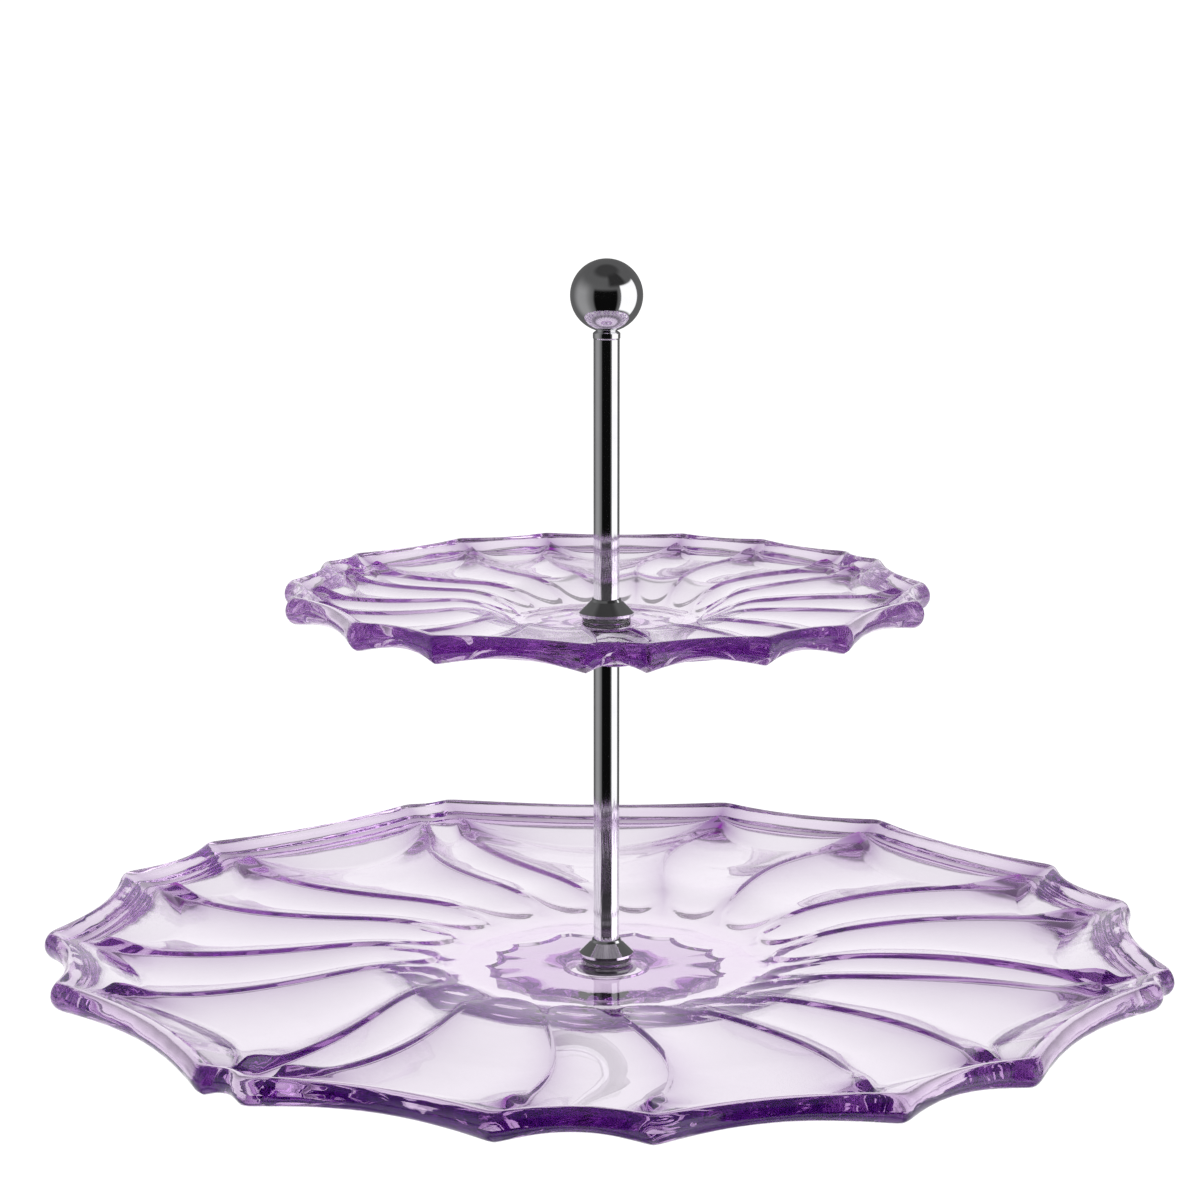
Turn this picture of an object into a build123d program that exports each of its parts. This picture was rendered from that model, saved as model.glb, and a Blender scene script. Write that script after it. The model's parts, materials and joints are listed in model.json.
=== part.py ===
from build123d import *
from math import cos, pi, radians, sin
import os

os.makedirs("parts", exist_ok=True)

# Two-tier glass cake stand. Millimetres, +Z up, origin on the table under the mast's axis,
# and the stand's front faces -Y.

# ---- glass plates ----
LOWER_R = 175.0            # lower plate, centre to the points of its rim
UPPER_R = 100.0            # upper plate
HOLE_R = 5.0               # hole through the middle of each plate
FLUTES = 18                # scooped flutes, and as many points on the rim
LOWER_TOP, LOWER_THICK = 12.0, 7.5      # flat well of the lower plate: height and glass thickness
UPPER_TOP, UPPER_THICK = 120.5, 6.5
LOWER_RIM, UPPER_RIM = 9.8, 11.8        # height of each rim above its well
LOWER_CREASE, UPPER_CREASE = 4.2, 5.5   # height of the crease inside each rim above its well
WELL = 0.29                # well radius as a share of the plate's radius
CREASE = 0.86              # crease radius, likewise
RIM_DRAFT = 14.0           # degrees the rim's outer face leans in towards the table
RIM_SAG, FOOT_SAG = 0.033, 0.09         # how far the arcs between points draw in, share of radius
FOOT = 0.207               # radius of the pointed glass foot under each plate, share of its radius
LOWER_FOOT, UPPER_FOOT = (4.5, 13.0), (2.5, 10.0)       # each foot's height and its recess's radius

# Rim points of the lower plate: (angle in degrees, share of the plate's radius).
# They come in three unequal groups of six, each led by a close pair.
LOWER_POINTS = (
    (109, 1.03), (114, 1.02), (142, 1.01), (157, 1.01), (181, 1.008), (199, 1.0),
    (230, 1.0), (235, 1.0), (260, 1.0), (274, 1.0), (297, 1.01), (313, 1.0),
    (341, 1.0), (346, 1.01), (371, 0.99), (387, 0.98), (415, 0.98), (435, 0.98),
)
GROUP = (-5.0, 5.0, 26.0, 43.0, 70.5, 88.5)     # offsets of one group's six points
UPPER_TURN = 31.5                               # where the upper plate's first group starts
UPPER_POINTS = tuple((UPPER_TURN + 120 * g + o, 1.0) for g in range(3) for o in GROUP)

# ---- mast ----
ROD_R, ROD_BORE = 4.0, 3.2
PLUG_L = 14.0              # threaded plug pressed into each end of a rod
SCREW_R = 2.5              # M5 base screw and joining stud
TAP_R = 2.56               # bore of a plug whose screw turns in it
BORE = 2.9                 # clearance hole in collars, washers, seals and sleeves
HEAD_R, HEAD_H = 5.0, 1.6  # base screw's head, up inside the foot ring
SEAL = 1.2                 # clear ring between metal and glass
SEAL_R = 7.5
COLLAR_R, COLLAR_TOP_R = 8.5, 4.9
COLLAR_LIP, COLLAR_H = 1.3, 5.5
SEAT = 2.5                 # thickness of a collar's floor under the rod's end
POCKET_R = 4.05            # pocket that the rod's end stands in
WASHER_R, WASHER_T = 10.0, 1.0
BALL_R, BALL_Z = 11.1, 220.6
NECK_R, RING_Z, RING_H = 3.3, 207.3, 2.2        # finial's ring on top of the upper rod
STEM_L = 10.0              # finial's stem inside the rod
THREAD_L = 8.0             # length of the joining stud inside the upper rod


def polar(r, deg, *z):
    return (r * cos(radians(deg)), r * sin(radians(deg)), *z)


def turned(points):
    """Solid of revolution about the mast from (radius, height) corners."""
    return revolve(make_face(Polyline([(r, 0, z) for r, z in points], close=True)), Axis.Z)


def tube(r_out, r_in, z0, z1):
    return turned([(r_in, z0), (r_out, z0), (r_out, z1), (r_in, z1)])


# ---------------------------------------------------------------- glass plates
def next_points(points):
    """Each rim point with the one after it, going round once."""
    first = (points[0][0] + 360, points[0][1])
    return zip(points, points[1:] + (first,))


def pointed_outline(radius, points, draw_in):
    """A shallow inward arc from each point to the next."""
    edges = []
    for (a0, k0), (a1, k1) in next_points(points):
        p0, p1 = Vector(*polar(radius * k0, a0)), Vector(*polar(radius * k1, a1))
        sag = min(draw_in * radius, 0.16 * (p1 - p0).length)
        middle = (p0 + p1) / 2
        edges.append(ThreePointArc(p0, middle - middle.normalized() * sag, p1))
    return make_face(Wire(edges))


def flute_cutter(radius, top, crease_z, rim_z, a_in, a_out, gap):
    """Cone-shaped scoop with a round inner end; its outer end turns up into the rim band."""
    depth = 0.0135 * radius
    r_in, r_out = (WELL + 0.06) * radius, (CREASE - 0.04) * radius
    bend_in = (0.94 * 2 * pi * r_in / FLUTES) ** 2 / (8 * depth)
    bend_out = (0.96 * radians(gap) * r_out) ** 2 / (8 * depth)
    p_in = Vector(*polar(r_in, a_in, top - depth))
    p_out = Vector(*polar(r_out, a_out, crease_z - depth - 0.002 * radius))
    ahead = Vector(p_out.X - p_in.X, p_out.Y - p_in.Y, 0)
    plane = Plane(origin=p_in, x_dir=ahead, z_dir=ahead.cross(Vector(0, 0, 1)))

    # in that upright plane: x along the flute, y up, the floor's inner end at (0, 0)
    floor = Vector(ahead.length, p_out.Z - p_in.Z)
    up = Vector(-floor.Y, floor.X).normalized()
    c_in, c_out = up * bend_in, floor + up * bend_out
    axis = (c_out - c_in).normalized()
    back = c_in - axis * bend_in
    round_end = c_in + ((back - c_in) - c_in).normalized() * bend_in
    lip = Vector(floor.X + 0.14 * radius, rim_z - p_in.Z + 0.5)
    corners = [(0, 0), floor, lip, c_in + axis * (lip - c_in).dot(axis), back]
    side = Vector(axis.Y, -axis.X)
    if (lip - c_in).dot(side) < 1:              # a narrow scoop closes before it reaches the lip
        reach = (floor - c_in).dot(side) / (floor - lip).dot(side)
        corners[2:4] = [floor + (lip - floor) * reach]
    outline = [ThreePointArc(back, round_end, (0, 0))] + Polyline(corners).edges()
    section = plane * make_face(Wire(outline))
    start = plane.from_local_coords(c_in)
    return revolve(section, Axis(start, plane.from_local_coords(c_in + axis) - start))


def glass_plate(radius, points, top, thick, crease, rim, rim_thick, foot_h, recess_r):
    crease_z, rim_z, under = top + crease, top + rim, top - thick
    profile = [
        (HOLE_R, top), (WELL * radius, top), (CREASE * radius, crease_z), (0.945 * radius, rim_z),
        (1.04 * radius, rim_z), (1.04 * radius, rim_z - rim_thick + 0.8),
        (0.96 * radius, rim_z - rim_thick), (0.84 * radius, crease_z - thick - 0.2),
        (0.36 * radius, under + 0.8), (0.25 * radius, under), (HOLE_R, under),
    ]
    rim = extrude(pointed_outline(radius, points, RIM_SAG), amount=-(rim_z - under + 10), taper=RIM_DRAFT)
    foot = extrude(pointed_outline(FOOT * radius, points, FOOT_SAG), amount=foot_h + 0.5)
    plate = turned(profile) & Pos(0, 0, rim_z) * rim
    plate = plate + Pos(0, 0, under - foot_h) * (foot - Cylinder(recess_r, 3 * foot_h))
    for i, ((a0, _), (a1, _)) in enumerate(next_points(points)):
        a_in = points[0][0] + (i - 0.5) * 360 / FLUTES
        plate = plate - flute_cutter(radius, top, crease_z, rim_z, a_in, (a0 + a1) / 2, a1 - a0)
    return plate


# ---------------------------------------------------------------- metal and trim
def collar(z):
    """Shallow cone that hides the hole in a plate; a rod's end stands in its pocket."""
    return turned([
        (BORE, z), (COLLAR_R - 0.6, z), (COLLAR_R, z + 0.5), (COLLAR_R, z + COLLAR_LIP),
        (COLLAR_TOP_R, z + COLLAR_H - 0.7), (ROD_R + 0.5, z + COLLAR_H), (POCKET_R, z + COLLAR_H - 0.4),
        (POCKET_R, z + SEAT), (BORE, z + SEAT),
    ])


def seal(z):
    return tube(SEAL_R, BORE, z, z + SEAL)


def plug(z, bore):
    """Tapped plug pressed into one end of a rod."""
    return tube(ROD_BORE, bore, z, z + PLUG_L)


def stud(z0, z1):
    """Threaded stud with bevelled ends."""
    return turned([(0, z0), (SCREW_R - 0.6, z0), (SCREW_R, z0 + 0.6), (SCREW_R, z1 - 0.6),
                   (SCREW_R - 0.6, z1), (0, z1)])


# ---------------------------------------------------------------- heights up the mast
lower_under = LOWER_TOP - LOWER_THICK
washer_z = lower_under - SEAL - WASHER_T         # underside of the base washer
lower_collar_z = LOWER_TOP + SEAL
lower_rod_z = lower_collar_z + SEAT
upper_under = UPPER_TOP - UPPER_THICK
lower_rod_end = upper_under - SEAL - WASHER_T    # the under washer rests on the lower rod
upper_collar_z = UPPER_TOP + SEAL
upper_rod_z = upper_collar_z + SEAT

head = turned([(0, washer_z - HEAD_H), (HEAD_R - 0.8, washer_z - HEAD_H), (HEAD_R, washer_z - 0.8),
               (HEAD_R, washer_z), (0, washer_z)])
slot = Pos(0, 0, washer_z - HEAD_H) * Box(2 * HEAD_R + 1, 1.2, 1.6)
finial = turned([
    (0, RING_Z - STEM_L), (SCREW_R, RING_Z - STEM_L), (SCREW_R, RING_Z), (ROD_R, RING_Z),
    (ROD_R + 0.2, RING_Z + 0.4), (ROD_R + 0.2, RING_Z + RING_H - 0.4), (ROD_R - 0.2, RING_Z + RING_H),
    (NECK_R, RING_Z + RING_H + 0.3), (NECK_R, BALL_Z), (0, BALL_Z),
])

nodes = {
    "lower_plate": glass_plate(LOWER_R, LOWER_POINTS, LOWER_TOP, LOWER_THICK, LOWER_CREASE, LOWER_RIM,
                               8.0, *LOWER_FOOT),
    "lower_plate_sleeve": tube(HOLE_R, BORE, lower_under, LOWER_TOP),
    "lower_seal_over": seal(LOWER_TOP),
    "lower_seal_under": seal(lower_under - SEAL),
    "base_washer": tube(WASHER_R, BORE, washer_z, washer_z + WASHER_T),
    "base_screw": (head + stud(washer_z - 0.5, lower_rod_z + PLUG_L - 2)) - slot,
    "lower_collar": collar(lower_collar_z),
    "lower_rod": tube(ROD_R, ROD_BORE, lower_rod_z, lower_rod_end),
    "lower_rod_bottom_plug": plug(lower_rod_z, TAP_R),
    "lower_rod_top_plug": plug(lower_rod_end - PLUG_L, SCREW_R),
    "under_washer": tube(WASHER_R - 1.5, BORE, lower_rod_end, lower_rod_end + WASHER_T),
    "joining_stud": stud(lower_rod_end - PLUG_L + 2, upper_rod_z + THREAD_L),
    "upper_plate": glass_plate(UPPER_R, UPPER_POINTS, UPPER_TOP, UPPER_THICK, UPPER_CREASE, UPPER_RIM,
                               9.0, *UPPER_FOOT),
    "upper_plate_sleeve": tube(HOLE_R, BORE, upper_under, UPPER_TOP),
    "upper_seal_over": seal(UPPER_TOP),
    "upper_seal_under": seal(upper_under - SEAL),
    "upper_collar": collar(upper_collar_z),
    "upper_rod": tube(ROD_R, ROD_BORE, upper_rod_z, RING_Z),
    "upper_rod_bottom_plug": plug(upper_rod_z, TAP_R),
    "upper_rod_top_plug": plug(RING_Z - PLUG_L, SCREW_R),
    "ball_finial": finial + Pos(0, 0, BALL_Z) * Sphere(BALL_R),
}
for name, solid in nodes.items():
    export_step(solid, f"parts/{name}.step")
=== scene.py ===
import json
import math

import bpy
import numpy as np
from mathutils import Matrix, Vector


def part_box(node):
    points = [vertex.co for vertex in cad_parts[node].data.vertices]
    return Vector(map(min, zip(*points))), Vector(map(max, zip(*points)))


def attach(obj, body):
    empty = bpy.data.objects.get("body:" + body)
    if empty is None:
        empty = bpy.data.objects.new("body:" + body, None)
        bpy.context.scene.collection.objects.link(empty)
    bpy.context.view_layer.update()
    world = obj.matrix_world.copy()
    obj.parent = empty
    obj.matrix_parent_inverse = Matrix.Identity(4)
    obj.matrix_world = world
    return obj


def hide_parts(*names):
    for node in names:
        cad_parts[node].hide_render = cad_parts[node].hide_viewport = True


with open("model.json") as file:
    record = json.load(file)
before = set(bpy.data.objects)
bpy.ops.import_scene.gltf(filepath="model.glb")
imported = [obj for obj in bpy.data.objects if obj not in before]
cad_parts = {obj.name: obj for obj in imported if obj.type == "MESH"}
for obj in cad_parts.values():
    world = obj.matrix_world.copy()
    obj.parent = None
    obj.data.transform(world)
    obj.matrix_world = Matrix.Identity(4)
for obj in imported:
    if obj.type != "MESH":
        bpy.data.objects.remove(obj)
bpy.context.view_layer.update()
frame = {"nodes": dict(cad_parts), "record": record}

# ------------------------------------------------------------------ sizes, in metres and degrees
MM = 0.001
FLUTES = 18
FLUTE_ANGLE = 360.0 / FLUTES
COLUMNS = 26           # mesh columns across one flute
WELL_RINGS, FLUTE_RINGS, BAND_RINGS, UNDER_RINGS = 9, 54, 14, 30
OUTLINE_STEPS = 3600
POINT_BLUNT = 0.55                           # degrees over which the outline's points are blunted
HOLE_R = 5 * MM
INSET = 0.3 * MM                             # how far the glass stays inside the solid it replaces
RIM_TOP = 3.2 * MM                           # from the outline in to where the rim starts to round over
FOOT_DRAFT = 0.6 * MM                        # how much wider the foot is at its root than at its edge
RIDGE_LEAD = 8.0                             # degrees the rim end of a ridge runs ahead of its inner end
RIDGE_BOW = 7.0                              # degrees a ridge bows sideways half way out

# shares of a plate's radius
WELL = 0.29
FOOT = 0.207
CREASE_AT_RIDGE = 0.885                      # where a ridge ends and the rim band begins
CREASE_BOW = 0.0034                          # how far in the crease bows, for each degree a flute is wide
RIM_SAG, FOOT_SAG = 0.033, 0.09              # how far in an edge bows between two points
NOSE_LIFT = 0.009                            # step up from the well at a flute's rounded inner end
NOSE_OUT = 0.05                              # outside the well, where a flute's end has its full width
HOLLOW_IN, HOLLOW_OUT = 0.005, 0.019         # depth of a flute at its inner end and further out
PEAK_IN, PEAK_OUT = 0.055, 0.022             # spread of a ridge's raised tip, inside and outside the crease
TINT_FADE = 0.1                              # how far outside the well the tint reaches full depth

# shares of other lengths
MAX_SAG = 0.16                               # of the distance between two points, for their edge
NOSE_SOFT = 0.3                              # of a flute's half width, for the slope of that step
VALLEY_SHARE = 0.2                           # of the way to the crease, for the valleys between flute ends
RISE, RISE_SHARE = 0.75, 0.35                # RISE of the dish's height is made in RISE_SHARE of the way
HOLLOW_SHARE = 0.7                           # of the way out, where a flute has its full depth
THIN, THIN_SHARE = 0.44, 0.3                 # THIN of the thickness is left after THIN_SHARE of the way
FOLLOW = 0.95                                # of the flutes' depth, repeated on the underside

HOLLOW_POWER, PEAK_POWER = 2.0, 5            # a higher power gives a flatter hollow or a sharper tip
RIM_DIVE = 2.2                               # how late the underside drops to the rim's lower edge
RIM_CRINKLE, WALL_CRINKLE, UNDER_CRINKLE = 0.1, 0.6, 0.12    # unevenness of the glass, by place
HOLLOW_TINT, RIDGE_SHADE = 0.6, 1.5           # depth of the glass's own colour in the hollows, and painted shade added towards the ridges
TIP_SHADE, FOOT_TINT = 3.2, 1.7               # painted dark shade added at the ridge tips, and depth of colour in the foot

# outer face of the rim, from the top: mm in from the outline, and share of the way down
WALL_PROFILE = (
    (2.4, 0.02), (1.7, 0.07), (1.1, 0.15), (0.55, 0.25), (0.15, 0.38), (0.0, 0.52),
    (0.15, 0.64), (0.6, 0.76), (1.4, 0.88), (2.5, 0.96), (4.2, 1.0),
)

# every point of a rim: its angle, and how far out it is as a share of the radius
LOWER_POINTS = (
    (109, 1.03), (114, 1.02), (142, 1.01), (157, 1.01), (181, 1.008), (199, 1.0),
    (230, 1.0), (235, 1.0), (260, 1.0), (274, 1.0), (297, 1.01), (313, 1.0),
    (341, 1.0), (346, 1.01), (371, 0.99), (387, 0.98), (415, 0.98), (435, 0.98),
)
GROUP = (-5.0, 5.0, 26.0, 43.0, 70.5, 88.5)  # the upper rim has these six points three times over
UPPER_TURN = 31.5
UPPER_POINTS = tuple((UPPER_TURN + 120 * g + o, 1.0) for g in range(3) for o in GROUP)


# ------------------------------------------------------------------ glass plates
def outline(points, sag_share):
    """Radius by angle of the pointed outline of a plate of radius 1, as a function."""
    deg = np.linspace(0, 360, OUTLINE_STEPS, endpoint=False)
    radius = np.zeros_like(deg)
    ring = list(points) + [(points[0][0] + 360, points[0][1])]
    for (a0, k0), (a1, k1) in zip(ring, ring[1:]):
        inside = (deg - a0) % 360 < a1 - a0
        a = np.radians(a0 + (deg[inside] - a0) % 360)
        x0, y0 = k0 * math.cos(math.radians(a0)), k0 * math.sin(math.radians(a0))
        x1, y1 = k1 * math.cos(math.radians(a1)), k1 * math.sin(math.radians(a1))
        chord = (x0 * y1 - x1 * y0) / ((y1 - y0) * np.cos(a) - (x1 - x0) * np.sin(a))
        u = (np.degrees(a) - a0) / (a1 - a0)
        sag = min(sag_share, MAX_SAG * math.hypot(x1 - x0, y1 - y0))
        radius[inside] = chord - sag * 4 * u * (1 - u)
    away = np.minimum(deg, 360 - deg)
    kernel = np.exp(-0.5 * (away / POINT_BLUNT) ** 2)
    radius = np.real(np.fft.ifft(np.fft.fft(radius) * np.fft.fft(kernel / kernel.sum())))
    deg, radius = np.append(deg, 360), np.append(radius, radius[0])
    return lambda a: np.interp(np.asarray(a) % 360, deg, radius)


class PlateShape:
    """A pressed plate as closed rings of points, which run out over the top and back underneath."""

    def __init__(self, node, points, seal, thick, crease, peak_h, foot_h, recess_r, rim_thick, rim_dip):
        lo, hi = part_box(node)
        rim_shape = outline(points, RIM_SAG)
        foot_shape = outline([(a, 1.0) for a, _ in points], FOOT_SAG)
        around = np.linspace(0, 360, OUTLINE_STEPS)
        width = np.ptp(rim_shape(around) * np.cos(np.radians(around)))
        self.radius = (hi[0] - lo[0]) / width - INSET
        self.top, self.rim_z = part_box(seal)[0][2], hi[2]
        self.under = self.top - thick
        self.thick, self.crease, self.peak_h = thick, crease, peak_h
        self.foot_h, self.recess_r = foot_h, recess_r

        # columns of points, closer together at the ridges
        even = np.arange(COLUMNS) / COLUMNS
        self.u = np.tile(0.5 * even + 0.5 * (0.5 - 0.5 * np.cos(np.pi * even)), FLUTES)
        self.side = 2 * self.u - 1                   # -1 and 1 on the ridges, 0 in the middle of a flute
        self.ridge = np.abs(self.side)
        self.hollow = 4 * self.u * (1 - self.u)      # 0 on the ridges, 1 in the middle of a flute
        self.flute_no = np.repeat(np.arange(FLUTES), COLUMNS)

        # ridges: uneven at the rim, where they meet its points, and even at the well
        self.outer = np.array([a for a, _ in points] + [points[0][0] + 360.0])
        self.inner = FLUTE_ANGLE * np.arange(FLUTES + 1)
        self.inner += np.mean(self.outer[:-1] - self.inner[:-1]) - RIDGE_LEAD
        gap = np.diff(self.outer)[self.flute_no]

        self.r_well = WELL * self.radius
        self.r_crease = self.radius * (CREASE_AT_RIDGE - CREASE_BOW * gap * self.hollow)
        self.r_rim = self.radius * rim_shape(self.angle(1.0))
        self.r_foot = FOOT * self.radius * foot_shape(self.angle(0.0))
        self.nose = 0.5 * math.radians(FLUTE_ANGLE) * (self.r_well + NOSE_OUT * self.radius)
        self.face = rim_thick - rim_dip * self.hollow

        self.rings, self.crinkle, self.lilac_and_shade = [], [], []
        self.add_top()
        self.add_wall()
        self.add_underside()
        self.add_foot()

    def angle(self, t):
        """Angle of every column, share t of the way from the well to the crease."""
        k = self.flute_no
        bow = RIDGE_BOW * np.sin(np.pi * t)
        left = self.inner[k] + (self.outer[k] - self.inner[k]) * t + bow
        right = self.inner[k + 1] + (self.outer[k + 1] - self.inner[k + 1]) * t + bow
        return left + self.u * (right - left)

    def flute(self, t, follow=1.0):
        """Height of the fluted top, share t of the way out, with its hollows scaled by follow."""
        to_nose = np.clip((self.nose - t * (self.r_crease - self.r_well)) / self.nose, 0, 1)
        off_middle = np.clip(np.sqrt(self.side ** 2 + to_nose ** 2), 0, 1)
        inside = np.clip((1 - off_middle) / NOSE_SOFT, 0, 1)
        inside = inside * inside * (3 - 2 * inside)
        valley = 1 - np.clip(t / VALLEY_SHARE, 0, 1)
        step = NOSE_LIFT * self.radius
        lift = step * (1 - (1 - inside) * valley)
        dish = self.crease * (RISE * (1 - (1 - np.clip(t / RISE_SHARE, 0, 1)) ** 2) + (1 - RISE) * t)
        depth = self.radius * (HOLLOW_IN + (HOLLOW_OUT - HOLLOW_IN) * np.clip(t / HOLLOW_SHARE, 0, 1))
        return self.top + lift + (dish - step * t) - follow * depth * (1 - off_middle ** HOLLOW_POWER)

    def near_crease(self, r, spread):
        """1 at the crease, fading over a share of the radius to both sides."""
        return np.exp(-((r - self.r_crease) / (spread * self.radius)) ** 2)

    def peak(self, r, spread):
        """Extra height of the ridge tips, r out from the centre."""
        return self.peak_h * self.ridge ** PEAK_POWER * self.near_crease(r, spread)

    def tint_and_shade(self, r):
        """Depth of colour r out from the centre: none in the well, the glass's own colour in the hollows,
        painted shade growing towards the ridges, and painted dark marks at the ridge tips.
        """
        outside = np.clip((r / self.radius - WELL) / TINT_FADE, 0, 1)
        # painted dark marks at the ridge tips, over the painted shade towards the ridges
        tip = self.ridge ** 4 * self.near_crease(r, PEAK_IN)
        return outside * (HOLLOW_TINT + RIDGE_SHADE * self.ridge ** 3) + TIP_SHADE * tip

    def ring(self, r, z, t, crinkle=0.0, in_foot=False):
        """Add a ring at radius r and height z, with its columns at the angles they have at share t."""
        a = np.radians(self.angle(t))
        each = np.ones(len(self.u))
        self.rings.append(np.stack([r * np.cos(a), r * np.sin(a), z * each], 1))
        self.crinkle.append(crinkle * each)
        self.lilac_and_shade.append(FOOT_TINT * each if in_foot else self.tint_and_shade(r * each))

    def add_top(self):
        """Flat well, flutes up to the crease, and the rim band turned up outside it."""
        for r in np.linspace(HOLE_R, self.r_well, WELL_RINGS):
            self.ring(r, self.top, 0.0)
        for i in range(1, FLUTE_RINGS + 1):
            t = 0.6 * (i / FLUTE_RINGS) ** 1.6 + 0.4 * (i / FLUTE_RINGS)
            r = self.r_well + t * (self.r_crease - self.r_well)
            self.ring(r, self.flute(t) + self.peak(r, PEAK_IN), t)
        crease_z = self.flute(1.0)
        for i in range(1, BAND_RINGS + 1):
            v = (i / BAND_RINGS) ** 1.3
            r = self.r_crease + v * (self.r_rim - RIM_TOP - self.r_crease)
            z = crease_z + (self.rim_z - crease_z) * (0.8 * v + 0.2 * v * v)
            self.ring(r, z + (1 - v) * self.peak(r, PEAK_OUT), 1.0)

    def add_wall(self):
        """Rounded outer face of the rim, leaning in."""
        for inward, down in WALL_PROFILE:
            crinkle = WALL_CRINKLE * min(1, 2 * down)
            self.ring(self.r_rim - inward * MM, self.rim_z - self.face * down, 1.0, crinkle)

    def add_underside(self):
        """Back to the foot, fluted like the top."""
        r_low, z_low = self.r_rim - WALL_PROFILE[-1][0] * MM, self.rim_z - self.face
        band_rise = self.rim_z - self.flute(1.0)
        for i in range(1, BAND_RINGS + 1):
            v = 1 - i / BAND_RINGS
            dive = v ** RIM_DIVE
            band_z = self.flute(1.0, FOLLOW) + band_rise * v - THIN * self.thick
            self.ring(self.r_crease + v * (r_low - self.r_crease), (1 - dive) * band_z + dive * z_low,
                      1.0, RIM_CRINKLE * min(1, 3 * v))
        for i in range(1, UNDER_RINGS + 1):
            t = 1 - i / UNDER_RINGS
            thinned = 1 - (1 - np.clip(t / THIN_SHARE, 0, 1)) ** 2
            z = self.flute(t, FOLLOW) - self.thick * (1 + (THIN - 1) * thinned)
            self.ring(self.r_well + t * (self.r_crease - self.r_well), z, t, UNDER_CRINKLE * (1 - thinned))
        root = self.r_foot + FOOT_DRAFT
        for share in (0.7, 0.4, 0.15):
            self.ring(root + share * (self.r_well - root), self.under, 0.0, UNDER_CRINKLE * share)

    def add_foot(self):
        """Pointed foot with its round recess, and the hole up through the glass."""
        under, foot, recess = self.under, self.r_foot, self.recess_r
        floor = under - self.foot_h
        outside = ((foot + FOOT_DRAFT, under), (foot + 0.7 * FOOT_DRAFT, under - 0.5 * MM),
                   (foot, floor + 0.8 * MM), (foot - 0.25 * MM, floor + 0.25 * MM))
        bottom = ((foot - 0.8 * MM, floor), ((foot + recess) / 2, floor), (recess + 0.6 * MM, floor))
        inside = ((recess + 0.15 * MM, floor + 0.3 * MM), (recess, floor + 0.8 * MM),
                  (recess, under - 0.4 * MM), (recess - 0.4 * MM, under), (0.6 * recess, under))
        hole = ((HOLE_R + 0.3 * MM, under), (HOLE_R, under + 0.3 * MM), (HOLE_R, self.top - 0.2 * MM))
        for r, z in outside + bottom + inside + hole:
            self.ring(r, z, 0.0, in_foot=z < under - 0.6 * MM)


def glass_object(name, shape):
    """The rings of a plate joined into one closed mesh, with crinkle, and colour with its painted shade,
    kept on its points.
    """
    ring_count, columns = len(shape.rings), len(shape.u)
    here = np.arange(columns)
    beside = (here + 1) % columns
    faces = []
    for j in range(ring_count):
        row, next_row = j * columns, (j + 1) % ring_count * columns
        faces.append(np.stack([row + here, row + beside, next_row + beside, next_row + here], 1))
    faces = np.concatenate(faces)[:, ::-1]
    mesh = bpy.data.meshes.new(name)
    mesh.from_pydata(np.concatenate(shape.rings).tolist(), [], faces.tolist())
    mesh.update()
    mesh.shade_smooth()
    for label, values in (("crinkle", shape.crinkle), ("lilac_and_shade", shape.lilac_and_shade)):
        mesh.attributes.new(label, "FLOAT", "POINT").data.foreach_set("value", np.concatenate(values))
    obj = bpy.data.objects.new(name, mesh)
    bpy.context.scene.collection.objects.link(obj)
    return obj


# ------------------------------------------------------------------ shader nodes
def feed(nt, socket, value):
    """Give a socket a number, or the output of another node."""
    if isinstance(value, (int, float)):
        socket.default_value = value
    else:
        nt.links.new(value, socket)


def calc(nt, operation, *values):
    node = nt.nodes.new("ShaderNodeMath")
    node.operation = operation
    for socket, value in zip(node.inputs, values):
        feed(nt, socket, value)
    return node.outputs[0]


def mix(nt, factor, a, b):
    node = nt.nodes.new("ShaderNodeMix")
    for label, value in (("Factor", factor), ("A", a), ("B", b)):
        feed(nt, node.inputs[label], value)
    return node.outputs["Result"]


def noise(nt, scale, detail=3.0):
    coord = nt.nodes.new("ShaderNodeTexCoord")
    node = nt.nodes.new("ShaderNodeTexNoise")
    node.inputs["Scale"].default_value = scale
    node.inputs["Detail"].default_value = detail
    nt.links.new(coord.outputs["Object"], node.inputs["Vector"])
    return node.outputs["Fac"]


def remap(nt, value, low, high):
    node = nt.nodes.new("ShaderNodeMapRange")
    node.inputs["To Min"].default_value = low
    node.inputs["To Max"].default_value = high
    nt.links.new(value, node.inputs["Value"])
    return node.outputs["Result"]


def attribute(nt, label):
    node = nt.nodes.new("ShaderNodeAttribute")
    node.attribute_name = label
    return node.outputs["Fac"]


def blend_colours(nt, value, a, b):
    """Colour a below 0.3 and colour b above 0.7, blended between."""
    ramp = nt.nodes.new("ShaderNodeValToRGB")
    for element, position, colour in zip(ramp.color_ramp.elements, (0.3, 0.7), (a, b)):
        element.position = position
        element.color = (*colour, 1)
    nt.links.new(value, ramp.inputs["Fac"])
    return ramp.outputs["Color"]


def bump(nt, shader, height, strength, distance):
    node = nt.nodes.new("ShaderNodeBump")
    node.inputs["Strength"].default_value = strength
    node.inputs["Distance"].default_value = distance
    nt.links.new(height, node.inputs["Height"])
    nt.links.new(node.outputs["Normal"], shader.inputs["Normal"])


# ------------------------------------------------------------------ materials
CLEAR_GLASS = (0.97, 0.96, 0.975)
LILAC = (0.8, 0.757, 0.825), (0.85, 0.807, 0.875)
DEEP_PURPLE, GLASS_DENSITY = (0.568, 0.1, 0.712), 24.0       # colour that deep glass turns, and how fast
GLASS_IOR, PLASTIC_IOR = 1.5, 1.46
MOULD_WAVES = 0.12                           # height of the slow waves all over, against the crinkle's 1
PALE_PLASTIC = (0.86, 0.85, 0.88), (0.95, 0.94, 0.96)


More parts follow.
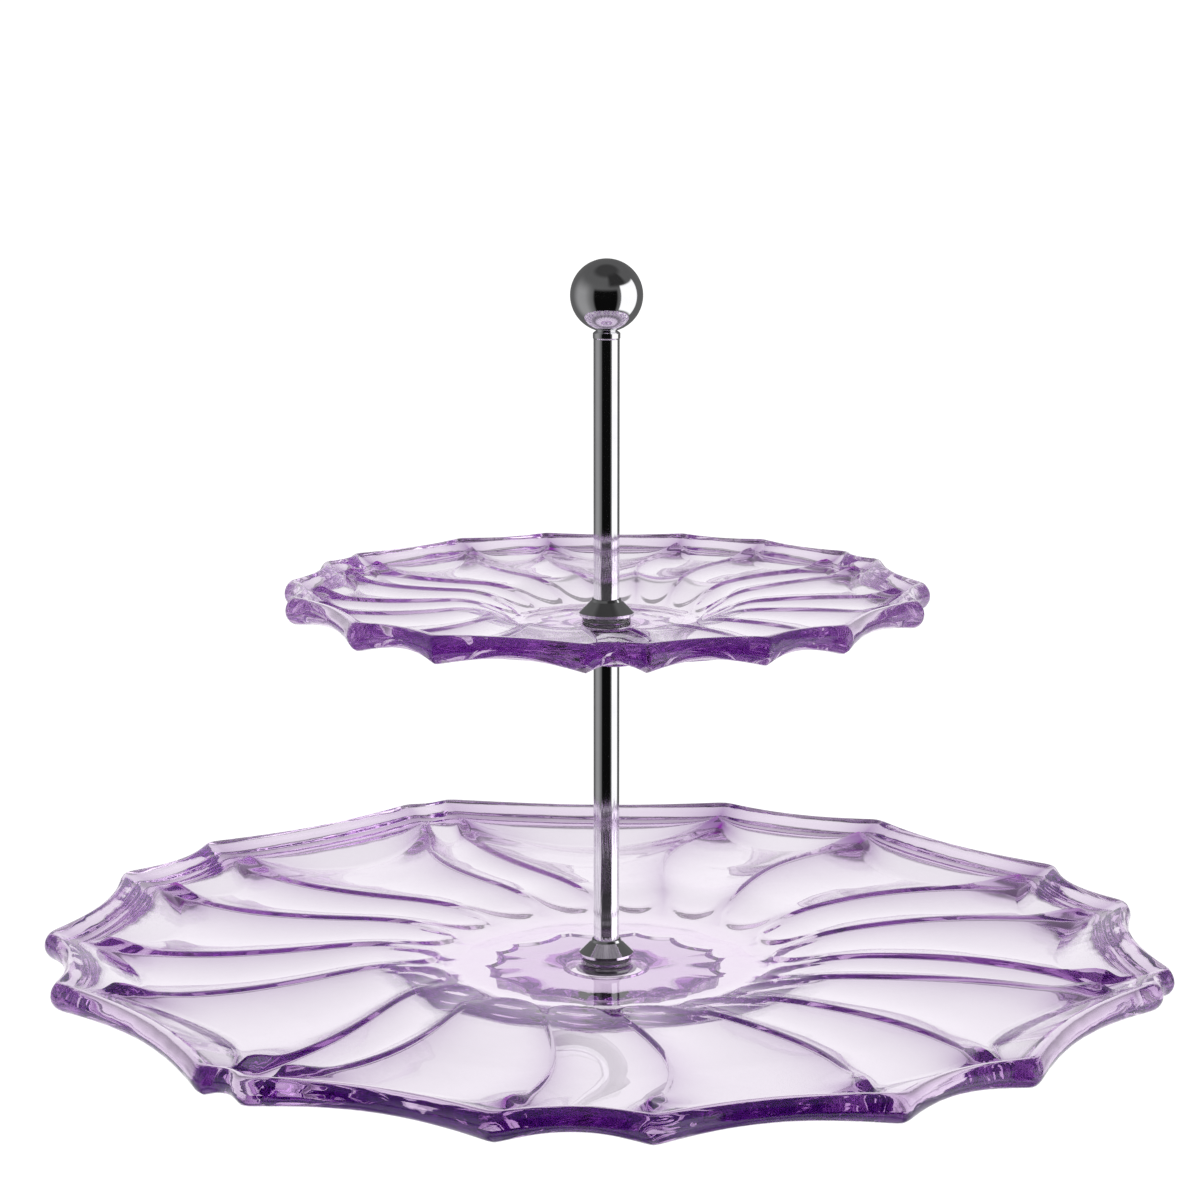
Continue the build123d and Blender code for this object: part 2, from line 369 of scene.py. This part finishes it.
def new_material(name):
    mat = bpy.data.materials.new(name)
    mat.use_nodes = True
    nt = mat.node_tree
    return mat, nt, nt.nodes["Principled BSDF"], nt.nodes["Material Output"]


def glass_material():
    mat, nt, shader, out = new_material("lilac_pressed_glass")
    # clear glass blended towards the coloured glass by a point value that also carries painted shade towards
    # the ridges and painted dark marks at the ridge tips
    tint_and_shade = nt.nodes.new("ShaderNodeMix")
    tint_and_shade.data_type = "RGBA"
    tint_and_shade.clamp_factor, tint_and_shade.clamp_result = False, True
    nt.links.new(attribute(nt, "lilac_and_shade"), tint_and_shade.inputs["Factor"])
    tint_and_shade.inputs["A"].default_value = (*CLEAR_GLASS, 1)
    nt.links.new(blend_colours(nt, noise(nt, 18), *LILAC), tint_and_shade.inputs["B"])
    nt.links.new(tint_and_shade.outputs["Result"], shader.inputs["Base Color"])
    shader.inputs["Roughness"].default_value = 0.0
    shader.inputs["Transmission Weight"].default_value = 1.0
    shader.inputs["IOR"].default_value = GLASS_IOR
    waves = remap(nt, noise(nt, 40, 1.0), 0.0, MOULD_WAVES)
    relief = calc(nt, "MULTIPLY_ADD", attribute(nt, "crinkle"), noise(nt, 75, 1.5), waves)
    bump(nt, shader, relief, 1.0, 1.6 * MM)
    volume = nt.nodes.new("ShaderNodeVolumeAbsorption")
    volume.inputs["Density"].default_value = GLASS_DENSITY
    volume.inputs["Color"].default_value = (*DEEP_PURPLE, 1)
    nt.links.new(volume.outputs["Volume"], out.inputs["Volume"])
    return mat


def metal_material(name, dark, light, rough, scratch):
    mat, nt, shader, _ = new_material(name)
    nt.links.new(blend_colours(nt, noise(nt, 120), dark, light), shader.inputs["Base Color"])
    nt.links.new(remap(nt, noise(nt, 400), *rough), shader.inputs["Roughness"])
    shader.inputs["Metallic"].default_value = 1.0
    bump(nt, shader, noise(nt, 900, 2.0), scratch, 0.05 * MM)
    return mat


def clear_plastic(name, rough):
    mat, nt, shader, _ = new_material(name)
    nt.links.new(blend_colours(nt, noise(nt, 150), *PALE_PLASTIC), shader.inputs["Base Color"])
    nt.links.new(remap(nt, noise(nt, 300), *rough), shader.inputs["Roughness"])
    shader.inputs["Transmission Weight"].default_value = 0.85
    shader.inputs["IOR"].default_value = PLASTIC_IOR
    bump(nt, shader, noise(nt, 500), 0.1, 0.1 * MM)
    return mat


glass = glass_material()
finish = {
    "chrome": metal_material("polished_chrome", (0.78, 0.78, 0.8), (0.84, 0.84, 0.86), (0.045, 0.07), 0.03),
    "zinc_steel": metal_material("zinc_plate", (0.5, 0.51, 0.53), (0.66, 0.67, 0.69), (0.28, 0.45), 0.3),
    "plug_brass": metal_material("turned_brass", (0.62, 0.47, 0.22), (0.78, 0.63, 0.34), (0.2, 0.35), 0.3),
    "clear_seal": clear_plastic("soft_clear_seal", (0.12, 0.25)),
    "clear_plastic": clear_plastic("clear_sleeve", (0.06, 0.15)),
}
slot_of = {part["node"]: part["material_slot"] for part in frame["record"]["subparts"]}
for node, obj in frame["nodes"].items():
    if slot_of[node] in finish:
        obj.data.materials.clear()
        obj.data.materials.append(finish[slot_of[node]])

# ------------------------------------------------------------------ the two plates
plates = (
    ("lower_glass", "lower_plate", "lower_tier", LOWER_POINTS,
     dict(seal="lower_seal_over", thick=7.5 * MM, crease=4.2 * MM, peak_h=3.8 * MM,
          foot_h=4.5 * MM, recess_r=13 * MM, rim_thick=9.0 * MM, rim_dip=1.4 * MM)),
    ("upper_glass", "upper_plate", "upper_tier", UPPER_POINTS,
     dict(seal="upper_seal_over", thick=6.5 * MM, crease=7.4 * MM, peak_h=2.6 * MM,
          foot_h=2.5 * MM, recess_r=10 * MM, rim_thick=8.8 * MM, rim_dip=2.2 * MM)),
)
for name, node, body, points, sizes in plates:
    plate = glass_object(name, PlateShape(node, points, **sizes))
    plate.data.materials.append(glass)
    plate.visible_shadow = False             # clear glass leaves the floor bright
    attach(plate, body)
    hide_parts(node)

# ------------------------------------------------------------------ camera
CAMERA_AT = (-0.0020, -0.9744, 0.3068)
CAMERA_DOWN = 10.47                          # degrees below level
LENS, SENSOR = 96.5, 36.0                    # mm
cam_data = bpy.data.cameras.new("camera")
cam_data.sensor_width, cam_data.lens = SENSOR, LENS
camera = bpy.data.objects.new("camera", cam_data)
camera.location = CAMERA_AT
camera.rotation_euler = (math.radians(90 - CAMERA_DOWN), 0, 0)
bpy.context.scene.collection.objects.link(camera)
bpy.context.scene.camera = camera

# ------------------------------------------------------------------ floor
FLOOR_HALF, FLOOR_Z = 6, -0.0002             # a hair below the foot, so that the two don't touch
FLOOR_GLOW = 1.1
corners = [(x * FLOOR_HALF, y * FLOOR_HALF, FLOOR_Z) for x, y in ((-1, -1), (1, -1), (1, 1), (-1, 1))]
floor_mesh = bpy.data.meshes.new("floor")
floor_mesh.from_pydata(corners, [], [(0, 1, 2, 3)])
floor = bpy.data.objects.new("floor", floor_mesh)
bpy.context.scene.collection.objects.link(floor)
pale, _, shader, _ = new_material("pale_floor")
shader.inputs["Base Color"].default_value = (0.02, 0.02, 0.02, 1)
shader.inputs["Roughness"].default_value = 0.9
shader.inputs["Specular IOR Level"].default_value = 0.0
shader.inputs["Emission Color"].default_value = (1, 1, 1, 1)
shader.inputs["Emission Strength"].default_value = FLOOR_GLOW
floor.data.materials.append(pale)
floor.visible_glossy = floor.visible_transmission = floor.visible_diffuse = False

# ------------------------------------------------------------------ studio light
# A patch of the room is given across and up, each as low, high and softness in degrees, with None for
# all of it. Across is 0 on the camera's side of the room and positive to the right, and up is 0 at the
# horizon. Layers of a room are laid one over the other: brightness, across, up.
WINDOW = (47, 111, 2.5), (-40, 30, 3)
WINDOW_IN_METAL, WINDOW_IN_GLASS = 1.1, 0.9
WALLS = 0.13
METAL_LAYERS = (
    (0.34, (-115, -60, 20), None),           # pale wall on the left
    (0.11, None, (24, 100, 18)),             # walls darken upwards
    (0.05, None, (62, 100, 8)),              # ceiling
    (0.03, (8, 75, 10), (30, 70, 8)),        # dark corner over the window
    (0.004, (-42, 36, 5), (-52, 20, 7)),     # dark front
)
SWEEP = 1.05                                 # the bright sweep behind and below
FRONT_SEEN_THROUGH, FRONT_MIRRORED = 0.75, 0.04
BACKDROP, FILL = 1.12, 1.0                   # white behind the stand, and light on all that isn't glossy


def band(nt, value, low, high, soft):
    """1 between low and high, fading to 0 over soft on each side."""
    edges = []
    for start, end in ((low - soft, low + soft), (high + soft, high - soft)):
        node = nt.nodes.new("ShaderNodeMapRange")
        node.interpolation_type = "SMOOTHSTEP"
        node.inputs["From Min"].default_value = start
        node.inputs["From Max"].default_value = end
        nt.links.new(value, node.inputs["Value"])
        edges.append(node.outputs["Result"])
    return calc(nt, "MULTIPLY", *edges)


def patch(nt, sides, limits):
    """1 inside a patch of the room. sides are the angles across and up, limits their bands or None."""
    bands = [band(nt, side, *limit) for side, limit in zip(sides, limits) if limit]
    return calc(nt, "MULTIPLY", *bands) if len(bands) == 2 else bands[0]


def layered(nt, sides, room, layers):
    """Brightness of a room with its layers laid over it, one after the other."""
    for brightness, across, up in layers:
        room = mix(nt, patch(nt, sides, (across, up)), room, brightness)
    return room


world = bpy.data.worlds.new("studio")
bpy.context.scene.world = world
world.use_nodes = True
nt = world.node_tree
background = nt.nodes["Background"]
split = nt.nodes.new("ShaderNodeSeparateXYZ")
nt.links.new(nt.nodes.new("ShaderNodeTexCoord").outputs["Generated"], split.inputs[0])
across = calc(nt, "ARCTAN2", split.outputs["X"], calc(nt, "MULTIPLY", split.outputs["Y"], -1))
up = calc(nt, "ARCSINE", split.outputs["Z"])
sides = [calc(nt, "MULTIPLY", angle, 180 / math.pi) for angle in (across, up)]
window = patch(nt, sides, WINDOW)
paths = nt.nodes.new("ShaderNodeLightPath").outputs

# what metal mirrors: grey walls, a dark front and ceiling, and one tall window on the right
room = layered(nt, sides, WALLS, METAL_LAYERS)
room = calc(nt, "ADD", room, calc(nt, "MULTIPLY", window, WINDOW_IN_METAL))

# what glass shows: a bright sweep, with a grey ceiling, and a front that is dark after one or two
# reflections and only dim when it is seen straight through
mirrored = calc(nt, "MULTIPLY", calc(nt, "GREATER_THAN", paths["Glossy Depth"], 0.5),
                calc(nt, "LESS_THAN", paths["Glossy Depth"], 2.5))
front = mix(nt, mirrored, FRONT_SEEN_THROUGH, FRONT_MIRRORED)
sweep = layered(nt, sides, SWEEP, (
    (0.3, None, (28, 95, 22)),               # ceiling
    (0.45, (-150, -118, 12), (6, 60, 8)),    # grey screens behind, on the left and the right
    (0.45, (112, 150, 12), (6, 60, 8)),
    (0.4, None, (-7, 2, 3)),                 # grey line at the horizon
    (front, (-50, 50, 8), (-42, 45, 7)),
    (0.35, None, (-70, -58, 6)),             # grey ring below
))
sweep = calc(nt, "ADD", sweep, calc(nt, "MULTIPLY", window, WINDOW_IN_GLASS))

off_metal = calc(nt, "MULTIPLY", paths["Is Glossy Ray"], calc(nt, "SUBTRACT", 1.0, paths["Is Singular Ray"]))
light = mix(nt, off_metal, sweep, room)
light = mix(nt, paths["Is Camera Ray"], light, BACKDROP)
light = mix(nt, paths["Is Diffuse Ray"], light, FILL)
nt.links.new(light, background.inputs["Strength"])
background.inputs["Color"].default_value = (1, 1, 1, 1)

# ------------------------------------------------------------------ colours and light paths
BOUNCES = 48                                 # light crosses the thick rims many times
scene = bpy.context.scene
scene.view_settings.view_transform = "Standard"
scene.view_settings.look = "None"
scene.cycles.max_bounces = BOUNCES
scene.cycles.transmission_bounces = BOUNCES
scene.cycles.glossy_bounces = BOUNCES
scene.cycles.caustics_reflective = True
scene.cycles.caustics_refractive = True
